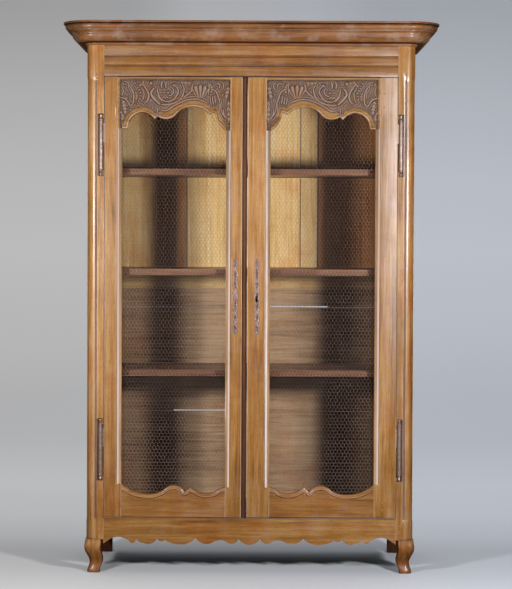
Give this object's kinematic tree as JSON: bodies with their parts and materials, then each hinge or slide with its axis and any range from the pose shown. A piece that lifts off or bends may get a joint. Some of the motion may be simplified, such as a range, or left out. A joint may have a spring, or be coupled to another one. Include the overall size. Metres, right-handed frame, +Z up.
{
  "type": "armoire cabinet",
  "caption": "Tall wooden provincial armoire with netted doors, carved waved door rails, moulded cornice, scalloped apron, shelves and barrel hinges, for linen or display.",
  "frame": {"origin": "on the floor, under the centre of the overall box", "axes": "+X to the right as seen from the front, +Y from front to back, +Z up"},
  "size_m": [1.502, 0.615, 2.2],
  "materials": {
    "honey_wood": "old waxed hardwood, warm honey brown",
    "carved_wood": "carved hardwood, darker and greyer in its hollows",
    "shelf_wood": "reddish brown hardwood",
    "back_wood": "pale unfinished softwood",
    "hinge_steel": "worn bright steel",
    "plate_iron": "chased iron, rubbed bright on its edges",
    "lock_iron": "dark forged iron",
    "net_wire": "dulled galvanised wire"
  },
  "bodies": {
    "carcase": {"apron_rail": "honey_wood", "back_bottom_rail": "back_wood", "back_lower_boards": "back_wood", "back_middle_rail": "back_wood", "back_top_rail": "back_wood", "back_upper_boards": "back_wood", "carcase_pegs": "honey_wood", "cornice_front": "honey_wood", "cornice_return_left": "honey_wood", "cornice_return_right": "honey_wood", "floor_boards": "back_wood", "frieze_rail": "honey_wood", "front_post_left": "honey_wood", "front_post_right": "honey_wood", "hinge_pins": "hinge_steel", "lower_hinge_post_half_left": "hinge_steel", "lower_hinge_post_half_right": "hinge_steel", "lower_shelf": "shelf_wood", "middle_shelf": "shelf_wood", "rear_post_left": "honey_wood", "rear_post_right": "honey_wood", "shelf_cleats": "back_wood", "side_bottom_rail_left": "honey_wood", "side_bottom_rail_right": "honey_wood", "side_lower_panel_left": "honey_wood", "side_lower_panel_right": "honey_wood", "side_middle_rail_left": "honey_wood", "side_middle_rail_right": "honey_wood", "side_top_rail_left": "honey_wood", "side_top_rail_right": "honey_wood", "side_upper_panel_left": "honey_wood", "side_upper_panel_right": "honey_wood", "top_boards": "back_wood", "upper_hinge_post_half_left": "hinge_steel", "upper_hinge_post_half_right": "hinge_steel", "upper_shelf": "shelf_wood"},
    "left_door": {"leaf_bolt_guides": "lock_iron", "left_bottom_rail": "honey_wood", "left_door_pegs": "honey_wood", "left_escutcheon": "plate_iron", "left_hinge_stile": "honey_wood", "left_meeting_stile": "honey_wood", "left_net": "net_wire", "left_top_rail": "carved_wood", "lower_hinge_door_half_left": "hinge_steel", "strike_plate": "lock_iron", "upper_hinge_door_half_left": "hinge_steel"},
    "right_door": {"lock_case": "lock_iron", "lower_hinge_door_half_right": "hinge_steel", "right_bottom_rail": "honey_wood", "right_door_pegs": "honey_wood", "right_escutcheon": "plate_iron", "right_hinge_stile": "honey_wood", "right_meeting_stile": "honey_wood", "right_net": "net_wire", "right_top_rail": "carved_wood", "upper_hinge_door_half_right": "hinge_steel"},
    "lock_bolt": {"lock_bolt": "lock_iron"},
    "leaf_bolt": {"leaf_bolt": "lock_iron"}
  },
  "joints": [
    {"name": "left_door_swing", "type": "hinge", "parent": "carcase", "child": "left_door", "pos_m": [-0.599, -0.2125, 0], "axis": [0, 0, -1], "range_deg": [0, 165]},
    {"name": "right_door_swing", "type": "hinge", "parent": "carcase", "child": "right_door", "pos_m": [0.599, -0.2125, 0], "axis": [0, 0, 1], "range_deg": [0, 165]},
    {"name": "lock_bolt_slide", "type": "slide", "parent": "right_door", "child": "lock_bolt", "axis": [-1, 0, 0], "range_m": [0, 0.028]},
    {"name": "leaf_bolt_slide", "type": "slide", "parent": "left_door", "child": "leaf_bolt", "axis": [0, 0, 1], "range_m": [0, 0.026]}
  ]
}
